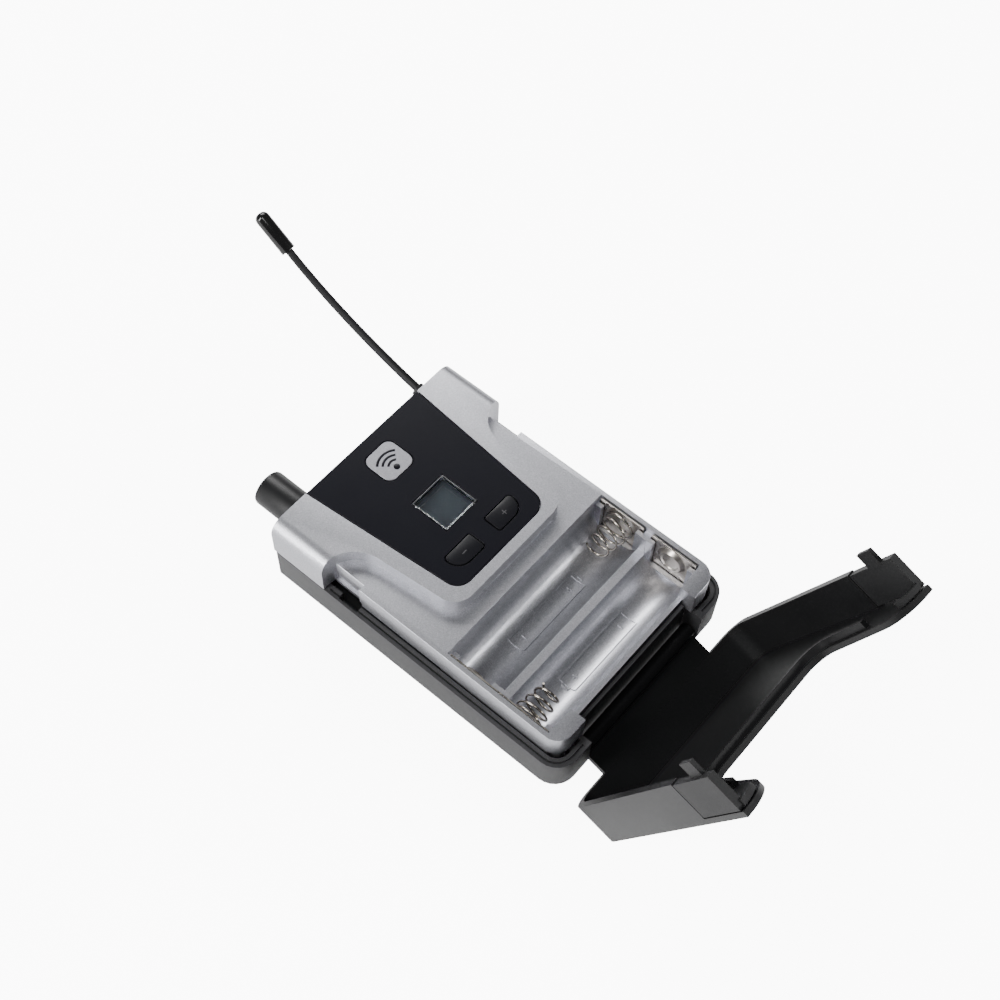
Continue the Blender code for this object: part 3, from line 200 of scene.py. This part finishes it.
# finish of each moulded, plated or rubber surface: colour, tint, grain and cloud sizes, gloss range, bump
skins = {
    "black_shell": {
        "colour": (0.030, 0.030, 0.031), "tint": (0.038, 0.038, 0.040), "grain": 2600, "cloud": 45,
        "rough": (0.50, 0.60), "bump": 0.35, "depth": 0.00006, "shine": 0.45},
    "black_panel": {
        "colour": (0.0055, 0.0055, 0.0085), "tint": (0.0075, 0.0075, 0.0105), "grain": 5000, "cloud": 30,
        "rough": (0.27, 0.30), "bump": 0.06, "depth": 0.00002, "shine": 0.12},
    "key_black": {
        "colour": (0.007, 0.007, 0.009), "tint": (0.009, 0.009, 0.011), "grain": 5000, "cloud": 60,
        "rough": (0.28, 0.36), "bump": 0.08, "depth": 0.00002, "shine": 0.18},
    "door_black": {
        "colour": (0.008, 0.008, 0.0085), "tint": (0.011, 0.011, 0.0115), "grain": 2400, "cloud": 40,
        "rough": (0.36, 0.46), "bump": 0.18, "depth": 0.00005, "shine": 0.24},
    "latch_black": {
        "colour": (0.010, 0.010, 0.0105), "tint": (0.014, 0.014, 0.0145), "grain": 2200, "cloud": 50,
        "rough": (0.48, 0.58), "bump": 0.35, "depth": 0.00006, "shine": 0.25},
    "knob_black": {
        "colour": (0.007, 0.007, 0.0075), "tint": (0.010, 0.010, 0.0105), "grain": 2600, "cloud": 70,
        "rough": (0.36, 0.46), "bump": 0.15, "depth": 0.00004, "shine": 0.30},
    "whip_rubber": {
        "colour": (0.008, 0.008, 0.009), "tint": (0.012, 0.012, 0.013), "grain": 2400, "cloud": 90,
        "rough": (0.42, 0.52), "bump": 0.2, "depth": 0.00004, "shine": 0.25},
    "tip_gloss": {
        "colour": (0.005, 0.005, 0.005), "tint": (0.007, 0.007, 0.007), "grain": 3000, "cloud": 90,
        "rough": (0.12, 0.18), "bump": 0.05, "depth": 0.00002, "shine": 0.5},
    "chip_black": {
        "colour": (0.020, 0.020, 0.020), "tint": (0.028, 0.028, 0.028), "grain": 2600, "cloud": 90,
        "rough": (0.5, 0.6), "bump": 0.3, "depth": 0.00005},
    "board_green": {
        "colour": (0.008, 0.07, 0.03), "tint": (0.012, 0.10, 0.045), "grain": 1600, "cloud": 160,
        "rough": (0.3, 0.4), "bump": 0.15, "depth": 0.00004},
    "part_white": {
        "colour": (0.62, 0.62, 0.60), "tint": (0.68, 0.68, 0.66), "grain": 2600, "cloud": 90,
        "rough": (0.4, 0.5), "bump": 0.1, "depth": 0.00003},
    "glass_grey": {
        "colour": (0.098, 0.106, 0.118), "tint": (0.108, 0.116, 0.128), "grain": 4000, "cloud": 60,
        "rough": (0.35, 0.40), "bump": 0.03, "depth": 0.00002, "shine": 0.08},
    "mark_grey": {
        "colour": (0.030, 0.030, 0.033), "tint": (0.042, 0.042, 0.045), "grain": 3000, "cloud": 200,
        "rough": (0.4, 0.5), "bump": 0.1, "depth": 0.00002},
    # painted highlight: a light grey that stands in for the glint along the window's and the display's edges
    "painted_edge_highlight": {
        "colour": (0.16, 0.165, 0.17), "tint": (0.20, 0.205, 0.21), "grain": 3000, "cloud": 200,
        "rough": (0.2, 0.3), "bump": 0.05, "depth": 0.00002},
    "clear_pipe": {
        "colour": (0.55, 0.62, 0.58), "tint": (0.60, 0.68, 0.63), "grain": 4000, "cloud": 90,
        "rough": (0.12, 0.2), "bump": 0.03, "depth": 0.00002},
    "contact_nickel": {
        "colour": (0.42, 0.39, 0.35), "tint": (0.52, 0.49, 0.45), "grain": 1500, "cloud": 250,
        "rough": (0.22, 0.36), "bump": 0.1, "depth": 0.00003, "metallic": 1.0},
    "spring_steel": {
        "colour": (0.27, 0.245, 0.21), "tint": (0.42, 0.39, 0.35), "grain": 1500, "cloud": 300,
        "rough": (0.16, 0.26), "bump": 0.06, "depth": 0.00002, "metallic": 1.0},
    "screw_steel": {
        "colour": (0.10, 0.10, 0.105), "tint": (0.16, 0.16, 0.165), "grain": 1500, "cloud": 400,
        "rough": (0.28, 0.4), "bump": 0.1, "depth": 0.00003, "metallic": 1.0},
    "shield_tin": {
        "colour": (0.55, 0.55, 0.55), "tint": (0.62, 0.62, 0.62), "grain": 1500, "cloud": 150,
        "rough": (0.3, 0.42), "bump": 0.1, "depth": 0.00003, "metallic": 1.0},
    "collar_nickel": {
        "colour": (0.60, 0.58, 0.55), "tint": (0.66, 0.64, 0.61), "grain": 2500, "cloud": 120,
        "rough": (0.14, 0.22), "bump": 0.05, "depth": 0.00002, "metallic": 1.0},
}
# finish of the painted surfaces: base, bright and dark flakes, how many flakes to a metre, gloss, bump
paints = {
    "silver_shell": {
        "colour": (0.455, 0.46, 0.49), "bright": (0.56, 0.56, 0.595), "dark": (0.38, 0.38, 0.41),
        "flake": 5200, "metallic": 0.88, "rough": 0.36, "bump": 0.12, "depth": 0.00004},
    "silver_badge": {
        "colour": (0.29, 0.29, 0.315), "bright": (0.37, 0.37, 0.39), "dark": (0.24, 0.24, 0.26),
        "flake": 6000, "metallic": 0.8, "rough": 0.40, "bump": 0.05, "depth": 0.00002},
}
# clear glass, a little uneven in its gloss as if wiped
glasses = {
    "clear_window": {"tint": (0.86, 0.90, 0.94), "rough": (0.012, 0.028), "smear": 120.0, "smearDetail": 2.0,
                     "ior": 1.47, "shine": 0.1},
}
materials = {}


def startMaterial(name):
    material = bpy.data.materials.new(name)
    material.use_nodes = True
    tree = material.node_tree
    return material, tree, tree.nodes["Principled BSDF"]


def addBump(tree, height, shader, look):
    bump = addNode(tree, "ShaderNodeBump", in_Strength=look["bump"], in_Distance=look["depth"])
    linkUp(tree, height, bump.inputs["Height"])
    linkUp(tree, bump.outputs["Normal"], shader.inputs["Normal"])


def makeSkinMaterial(name, look):
    material, tree, shader = startMaterial(name)
    skin = addNode(tree, "ShaderNodeGroup", node_tree=mouldedSkin)
    skin.inputs["Colour"].default_value = (*look["colour"], 1)
    skin.inputs["Tint"].default_value = (*look["tint"], 1)
    skin.inputs["Grain Size"].default_value = look["grain"]
    skin.inputs["Cloud Size"].default_value = look["cloud"]
    skin.inputs["Roughness Low"].default_value, skin.inputs["Roughness High"].default_value = look["rough"]
    linkUp(tree, skin.outputs["Colour"], shader.inputs["Base Color"])
    linkUp(tree, skin.outputs["Roughness"], shader.inputs["Roughness"])
    addBump(tree, skin.outputs["Height"], shader, look)
    shader.inputs["Metallic"].default_value = look.get("metallic", 0.0)
    shader.inputs["Specular IOR Level"].default_value = look.get("shine", 0.5)
    materials[name] = material


def makePaintMaterial(name, look):
    material, tree, shader = startMaterial(name)
    paint = addNode(tree, "ShaderNodeGroup", node_tree=flakePaint)
    paint.inputs["Colour"].default_value = (*look["colour"], 1)
    paint.inputs["Bright Flake"].default_value = (*look["bright"], 1)
    paint.inputs["Dark Flake"].default_value = (*look["dark"], 1)
    paint.inputs["Flake Size"].default_value = look["flake"]
    linkUp(tree, paint.outputs["Colour"], shader.inputs["Base Color"])
    addBump(tree, paint.outputs["Height"], shader, look)
    shader.inputs["Metallic"].default_value = look["metallic"]
    shader.inputs["Roughness"].default_value = look["rough"]
    materials[name] = material


def makeGlassMaterial(name, look):
    material, tree, shader = startMaterial(name)
    coords = tree.nodes.new("ShaderNodeTexCoord")
    smear = addNode(tree, "ShaderNodeTexNoise", in_Scale=look["smear"], in_Detail=look["smearDetail"])
    linkUp(tree, coords.outputs["Object"], smear.inputs["Vector"])
    low, high = look["rough"]
    gloss = addRange(tree, smear.outputs["Fac"], in_To_Min=low, in_To_Max=high)
    linkUp(tree, gloss.outputs["Result"], shader.inputs["Roughness"])
    shader.inputs["Base Color"].default_value = (*look["tint"], 1)
    shader.inputs["Transmission Weight"].default_value = 1.0
    shader.inputs["IOR"].default_value = look["ior"]
    shader.inputs["Specular IOR Level"].default_value = look["shine"]
    materials[name] = material


for finishes, makeFinish in ((skins, makeSkinMaterial), (paints, makePaintMaterial),
                             (glasses, makeGlassMaterial)):
    for finishName, finishLook in finishes.items():
        makeFinish(finishName, finishLook)
print("materials made")

# modelling helpers: merge distance in metres, angles in degrees
meshWork = {"merge": 0.000002, "flat": 0.4, "smooth": 35, "cutFrom": 40, "cutSteps": 2}


def deselectAll():
    for item in bpy.context.view_layer.objects:
        item.select_set(False)


def makeActive(piece):
    deselectAll()
    piece.select_set(True)
    bpy.context.view_layer.objects.active = piece


def editAll(piece):
    makeActive(piece)
    bpy.ops.object.mode_set(mode="EDIT")
    bpy.ops.mesh.select_all(action="SELECT")


def leaveEdit():
    bpy.ops.object.mode_set(mode="OBJECT")


def smoothUpTo(piece, degrees):
    # shade smooth, but keep edges sharper than this angle crisp
    makeActive(piece)
    bpy.ops.object.shade_smooth_by_angle(angle=math.radians(degrees))


def applyModifier(piece, kind, **settings):
    makeActive(piece)
    modifier = piece.modifiers.new(kind.lower(), kind)
    for key, value in settings.items():
        setattr(modifier, key, value)
    bpy.ops.object.modifier_apply(modifier=modifier.name)


def roundEdges(piece, width, segments, degrees, **settings):
    # round the edges sharper than this angle, with the width in millimetres
    applyModifier(piece, "BEVEL", width=width * mil, segments=segments, limit_method="ANGLE",
                  angle_limit=math.radians(degrees), **settings)


def placeInMesh(piece):
    # put the object's place into its mesh, so that its own axes are the frame's
    makeActive(piece)
    bpy.ops.object.transform_apply(location=True, rotation=True, scale=True)


def useMaterial(piece, name):
    piece.data.materials.clear()
    piece.data.materials.append(materials[name])


def finishPiece(piece, body, slotName, *replaced, material=None):
    useMaterial(piece, material or slotName)
    if replaced:
        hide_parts(*replaced)
    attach(piece, body)


def softCopy(nodeName, pieceName, width, segments, degrees):
    # the CAD shape again as one clean mesh, with every hard edge rounded where a width is given
    piece = bpy.data.objects.new(pieceName, nodes[nodeName].data.copy())
    bpy.context.scene.collection.objects.link(piece)
    editAll(piece)
    bpy.ops.mesh.customdata_custom_splitnormals_clear()
    bpy.ops.mesh.remove_doubles(threshold=meshWork["merge"])
    bpy.ops.mesh.dissolve_limited(angle_limit=math.radians(meshWork["flat"]))
    leaveEdit()
    smoothUpTo(piece, degrees)
    if width > 0:
        roundEdges(piece, width, segments, degrees, use_clamp_overlap=True, harden_normals=True,
                   miter_outer="MITER_ARC")
    finishPiece(piece, nodes[nodeName]["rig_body"], slotOf[nodeName], nodeName)


# each CAD node's visible piece: its name, the rounding of its edges in millimetres, the steps
# that the rounding takes, and the angle up to which it is shaded smooth
edgeWork = {
    "front_shell": ("frontShell", 0.28, 3, 28),
    "rear_shell": ("rearShell", 0.22, 2, 28),
    "control_panel": ("controlPanel", 0.12, 2, 28),
    "badge_plate": ("badgePlate", 0.12, 2, 28),
    "button_plus": ("keyPlus", 0.10, 2, 28),
    "button_minus": ("keyMinus", 0.10, 2, 28),
    "battery_door": ("batteryDoor", 0.25, 3, 28),
    "latch_left": ("latchLeft", 0.35, 3, 28),
    "latch_right": ("latchRight", 0.35, 3, 28),
    "belt_clip": ("beltClip", 0.3, 2, 28),
    "clip_bracket": ("clipBracket", 0.2, 2, 28),
    "negative_plate": ("negativePlate", 0.08, 2, 28),
    "positive_plate": ("positivePlate", 0.06, 2, 28),
    "bridge_plate": ("bridgePlate", 0.06, 2, 28),
    "jack_socket": ("jackSocket", 0.12, 2, 28),
    "jack_collar": ("jackCollar", 0.25, 3, 28),
    "level_knob": ("levelKnob", 0.0, 2, 28),
    "battery_spring_upper": ("springUpper", 0.0, 2, 70),
    "battery_spring_lower": ("springLower", 0.0, 2, 70),
    "antenna_whip": ("antennaWhip", 0.0, 2, 50),
    "antenna_collar": ("antennaCollar", 0.12, 2, 35),
    "light_pipe": ("lightPipe", 0.1, 2, 35),
    "lcd_frame": ("lcdFrame", 0.1, 2, 28),
    "clip_pin": ("clipPin", 0.15, 2, 35),
    "hinge_pin": ("hingePin", 0.1, 2, 35),
    "clip_spring": ("clipSpring", 0.0, 2, 70),
}
for nodeName, (pieceName, width, segments, degrees) in edgeWork.items():
    softCopy(nodeName, pieceName, width, segments, degrees)
for nodeName, node in nodes.items():
    if nodeName not in edgeWork:
        useMaterial(node, slotOf[nodeName])
print("pieces copied and rounded")


def topOf(nodeName):
    # the middle of a node's upper face
    low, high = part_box(nodeName)
    return Vector(((low.x + high.x) / 2, (low.y + high.y) / 2, high.z))


def addBar(middle, size):
    # one small block at its place; joinAs takes its corners off with the rest of its mark, where the mark is
    # given a rounding
    deselectAll()
    bpy.ops.mesh.primitive_cube_add(size=1, location=middle)
    bar = bpy.context.object
    bar.scale = [length * mil for length in size]
    placeInMesh(bar)
    return bar


def addArc(middle, radius, section, degrees, steps):
    # a small upright section, spun round the upright axis so that the arc faces up the pack;
    # with no window the spin turns clockwise, so it starts at the left
    start = math.radians(90 + degrees / 2)
    deselectAll()
    place = middle + Vector((math.cos(start), math.sin(start), 0)) * radius * mil
    bpy.ops.mesh.primitive_plane_add(size=1, location=place, rotation=(math.pi / 2, 0, start))
    arc = bpy.context.object
    arc.scale = (section[0] * mil, section[1] * mil, 1)
    placeInMesh(arc)
    editAll(arc)
    bpy.ops.mesh.spin(steps=steps, angle=math.radians(degrees), center=middle, axis=(0, 0, 1))
    leaveEdit()
    return arc


def joinAs(pieceName, items, rounding):
    deselectAll()
    for item in items:
        item.select_set(True)
    bpy.context.view_layer.objects.active = items[0]
    if len(items) > 1:
        bpy.ops.object.join()
    piece = items[0]
    piece.name = pieceName
    editAll(piece)
    bpy.ops.mesh.remove_doubles(threshold=meshWork["merge"])
    bpy.ops.mesh.normals_make_consistent(inside=False)
    leaveEdit()
    if rounding > 0:
        roundEdges(piece, rounding, meshWork["cutSteps"], meshWork["cutFrom"], use_clamp_overlap=True)
    smoothUpTo(piece, meshWork["smooth"])
    return piece


# a plain sending sign on the badge: a dot with arcs over it, in millimetres and degrees
badgeSign = {"dot": 0.85, "dotSides": 32, "radii": (2.1, 3.5, 4.9), "thick": 0.62, "height": 0.12,
             "sweep": 84, "arcSteps": 18, "below": 2.6, "round": 0.03}


def buildBadgeSign():
    middle = topOf("badge_plate") - Vector((0, badgeSign["below"] * mil, 0))
    deselectAll()
    bpy.ops.mesh.primitive_cylinder_add(vertices=badgeSign["dotSides"], radius=badgeSign["dot"] * mil,
                                        depth=badgeSign["height"] * mil, location=middle)
    dot = bpy.context.object
    placeInMesh(dot)
    section = (badgeSign["thick"], badgeSign["height"])
    arcs = [addArc(middle, radius, section, badgeSign["sweep"], badgeSign["arcSteps"])
            for radius in badgeSign["radii"]]
    sign = joinAs("badgeSign", [dot] + arcs, badgeSign["round"])
    finishPiece(sign, "housing", "black_panel")


# raised plus and minus on the keys, in millimetres
keyMarks = {"long": 1.5, "wide": 0.26, "high": 0.10, "round": 0.03}


def buildKeyMark(pieceName, nodeName, crossed):
    middle = topOf(nodeName)
    long, wide, high = keyMarks["long"], keyMarks["wide"], keyMarks["high"]
    bars = [addBar(middle, (long, wide, high))]
    if crossed:  # the upright of the plus is two halves that meet the level bar
        half = (long - wide) / 2
        for way in (-1, 1):
            place = middle + Vector((0, way * (half / 2 + wide / 2) * mil, 0))
            bars.append(addBar(place, (wide, half, high)))
    mark = joinAs(pieceName, bars, keyMarks["round"])
    finishPiece(mark, nodes[nodeName]["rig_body"], "key_black", material="mark_grey")


# outline of a cell with its poles, moulded on the floor of each bay, in millimetres; the bay's
# axis is told from the pack's bottom end and back, and flip says which way the cell points
bayMark = {"half": 12.0, "side": 2.35, "line": 0.34, "high": 0.60, "nub": 0.9, "pole": 1.5, "poleIn": 3.2,
           "radius": 7.35, "axisHeight": 13.2, "bendFrom": 2, "cuts": 6,
           "cellMarkUpper": {"axis": 30.7, "flip": 1}, "cellMarkLower": {"axis": 14.7, "flip": -1}}
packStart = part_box("rear_shell")[0]


def spot(x, y, z):
    # a place on the pack in millimetres: across, up from the bottom end, out from the back
    return Vector((x * mil, packStart.y + y * mil, packStart.z + z * mil))


def buildBayMark(pieceName):
    axis, flip = bayMark[pieceName]["axis"], bayMark[pieceName]["flip"]
    long, side, line = bayMark["half"], bayMark["side"], bayMark["line"]
    nub, pole, radius = bayMark["nub"], bayMark["pole"], bayMark["radius"] * mil
    poleAt = long - bayMark["poleIn"]
    # each strip's middle along and across the bay, then its length and width
    strips = [(0, side, 2 * long, line), (0, -side, 2 * long, line),
              (-flip * long, 0, line, 2 * side - line), (flip * long, 0, line, 2 * side - line),
              (flip * (long + nub), 0, line, 2 * nub),
              (flip * (long + nub / 2), nub, nub - line, line),
              (flip * (long + nub / 2), -nub, nub - line, line),
              (flip * poleAt, 0, pole, line), (-flip * poleAt, 0, line, pole),
              (flip * poleAt, (pole + line) / 4, line, (pole - line) / 2),
              (flip * poleAt, -(pole + line) / 4, line, (pole - line) / 2)]
    bars = []
    for x, y, wide, deep in strips:
        bar = addBar(spot(x, axis + y, bayMark["axisHeight"] - bayMark["radius"]),
                     (wide, deep, bayMark["high"]))
        if deep > bayMark["bendFrom"]:  # a strip that runs far across the bay bends with its floor
            editAll(bar)
            bpy.ops.mesh.subdivide(number_cuts=bayMark["cuts"])
            leaveEdit()
        bars.append(bar)
    mark = joinAs(pieceName, bars, 0.0)
    middle = spot(0, axis, 0).y
    for vertex in mark.data.vertices:  # lift each corner by the round floor's rise at its place
        vertex.co.z += radius - math.sqrt(radius ** 2 - (vertex.co.y - middle) ** 2)
    finishPiece(mark, "housing", "silver_shell")


# painted highlight: strips of light grey along the clear window's edge and, as a thin frame, on the display
# under it, standing in for the glint of the edges: width and thickness of the frame, how far it lies inside
# the window's outline, and how far it stands proud
edgeHighlightStrips = {
    "windowEdgeHighlight": {"on": "display_window", "wide": 0.11, "thick": 0.10, "inside": 0.0, "proud": 0.05,
                   "slot": "clear_window"},
    "displayEdgeHighlight": {"on": "lcd_module", "wide": 0.10, "thick": 0.10, "inside": 0.9, "proud": 0.10,
                    "slot": "glass_grey"},
}


def buildEdgeHighlight(pieceName, edge):
    # a plane inset and hollowed out, given its height and rounded; its light grey is a painted highlight
    low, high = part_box("display_window")
    shift = Vector((edge["inside"], edge["inside"], 0)) * mil
    low, high = low + shift, high - shift
    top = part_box(edge["on"])[1].z + edge["proud"] * mil
    deselectAll()
    bpy.ops.mesh.primitive_plane_add(size=1, location=((low.x + high.x) / 2, (low.y + high.y) / 2, top))
    rim = bpy.context.object
    rim.name = pieceName
    rim.scale = (high.x - low.x, high.y - low.y, 1)
    placeInMesh(rim)
    editAll(rim)
    bpy.ops.mesh.inset(thickness=edge["wide"] * mil)
    bpy.ops.mesh.delete(type="FACE")
    leaveEdit()
    applyModifier(rim, "SOLIDIFY", thickness=edge["thick"] * mil, offset=-1)
    roundEdges(rim, edge["wide"] / 4, meshWork["cutSteps"], meshWork["cutFrom"])
    smoothUpTo(rim, meshWork["smooth"])
    finishPiece(rim, "housing", edge["slot"], material="painted_edge_highlight")


# the glossy cap on the end of the whip: a cylinder with a hollow mouth, a round end and a lip, in
# millimetres; "last" is the stretch whose middle counts as the end, "reach" is the round end's
antennaCap = {"radius": 1.98, "sides": 40, "mouth": 1.28, "hollow": 1.5, "back": 0.55, "round": 1.7,
              "steps": 7, "lip": 0.10, "lipFrom": 50, "smooth": 40, "last": 1.2, "reach": 0.3}


def farEnd(nodeName):
    # the middle of the last stretch of a node, up the pack
    places = [vertex.co for vertex in nodes[nodeName].data.vertices]
    top = max(place.y for place in places)
    last = [place for place in places if top - place.y < antennaCap["last"] * mil]
    return sum(last, Vector()) / len(last)


def buildAntennaCap():
    start, end = farEnd("antenna_whip"), farEnd("antenna_tip")
    way = (end - start).normalized()
    back = antennaCap["back"] * mil
    deselectAll()
    bpy.ops.mesh.primitive_cylinder_add(
        vertices=antennaCap["sides"], radius=antennaCap["radius"] * mil, depth=(end - start).length + back,
        location=(start + end) / 2 - way * back / 2, rotation=way.to_track_quat("Z", "Y").to_euler())
    cap = bpy.context.object
    cap.name = "antennaCap"
    editAll(cap)
    bpy.ops.mesh.select_all(action="DESELECT")
    bpy.ops.mesh.select_mode(type="FACE")
    leaveEdit()
    for face in cap.data.polygons:  # in the cylinder's own axes the mouth faces down
        face.select = face.normal.z < -0.9
    bpy.ops.object.mode_set(mode="EDIT")
    bpy.ops.mesh.inset(thickness=(antennaCap["radius"] - antennaCap["mouth"]) * mil)
    bpy.ops.mesh.extrude_region_move(TRANSFORM_OT_translate={"value": way * antennaCap["hollow"] * mil})
    leaveEdit()
    placeInMesh(cap)
    weights = cap.data.attributes.new("bevel_weight_edge", "FLOAT", "EDGE")
    for edge in cap.data.edges:  # only the rim of the far end gets the big round
        sides = [cap.data.vertices[index].co.dot(way) for index in edge.vertices]
        weights.data[edge.index].value = float(min(sides) > end.dot(way) - antennaCap["reach"] * mil)
    applyModifier(cap, "BEVEL", width=antennaCap["round"] * mil, segments=antennaCap["steps"],
                  limit_method="WEIGHT", use_clamp_overlap=True)
    roundEdges(cap, antennaCap["lip"], meshWork["cutSteps"], antennaCap["lipFrom"], use_clamp_overlap=True)
    smoothUpTo(cap, antennaCap["smooth"])
    finishPiece(cap, nodes["antenna_tip"]["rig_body"], "tip_gloss", "antenna_tip")


buildBadgeSign()
buildKeyMark("keyPlusMark", "button_plus", True)
buildKeyMark("keyMinusMark", "button_minus", False)
buildAntennaCap()
buildBayMark("cellMarkUpper")
buildBayMark("cellMarkLower")
for edgeName, edgeLook in edgeHighlightStrips.items():
    buildEdgeHighlight(edgeName, edgeLook)
print("signs, marks and window edges made")

# area lights in white: where, size and strength
lights = {
    "leftStrip": {"at": (-0.80, 0.30, 0.54), "size": (0.22, 0.90), "power": 14.0},
    "frontStrip": {"at": (0.34, -0.86, 0.32), "size": (0.60, 0.20), "power": 11.0},
    "backPanel": {"at": (0.37, 0.66, 0.62), "size": (0.45, 0.20), "power": 5.0},
    "topPanel": {"at": (0.62, 0.46, 0.68), "size": (0.42, 0.42), "power": 1.6},
    "coverPanel": {"at": (-0.35, -0.20, 0.90), "size": (0.30, 0.30), "power": 2.0},
}
# the floor glows evenly to the eye, and lights the object less than it shows
studio = {"lightsAim": (0, -0.01, 0.02), "sky": (0.94, 0.95, 1.0), "skyStrength": 0.10,
          "floor": (0.95, 0.95, 0.955), "floorRough": 0.9, "floorSize": 6, "floorHeight": -0.0002,
          "floorGlow": 9.0, "floorLight": 0.38}


def aimLight(name, look):
    data = bpy.data.lights.new(name, "AREA")
    data.shape = "RECTANGLE"
    data.size, data.size_y = look["size"]
    data.energy = look["power"]
    lamp = bpy.data.objects.new(name, data)
    bpy.context.scene.collection.objects.link(lamp)
    lamp.location = look["at"]
    aim = Vector(studio["lightsAim"]) - Vector(look["at"])
    lamp.rotation_euler = aim.to_track_quat("-Z", "Y").to_euler()


def buildStudio():
    for name, look in lights.items():
        aimLight(name, look)
    world = bpy.data.worlds.new("studioWorld")
    world.use_nodes = True
    sky = world.node_tree.nodes["Background"]
    sky.inputs["Color"].default_value = (*studio["sky"], 1)
    sky.inputs["Strength"].default_value = studio["skyStrength"]
    bpy.context.scene.world = world
    deselectAll()
    bpy.ops.mesh.primitive_plane_add(size=studio["floorSize"], location=(0, 0, studio["floorHeight"]))
    floor = bpy.context.object
    floor.name = "studioFloor"
    material, tree, shader = startMaterial("studioFloor")
    shader.inputs["Base Color"].default_value = (*studio["floor"], 1)
    shader.inputs["Roughness"].default_value = studio["floorRough"]
    shader.inputs["Emission Color"].default_value = (1, 1, 1, 1)
    seen = tree.nodes.new("ShaderNodeLightPath")
    glow = addRange(tree, seen.outputs["Is Camera Ray"], in_To_Min=studio["floorLight"],
                    in_To_Max=studio["floorGlow"])
    linkUp(tree, glow.outputs["Result"], shader.inputs["Emission Strength"])
    floor.data.materials.append(material)


placeCamera()
buildStudio()
print("camera and studio placed")
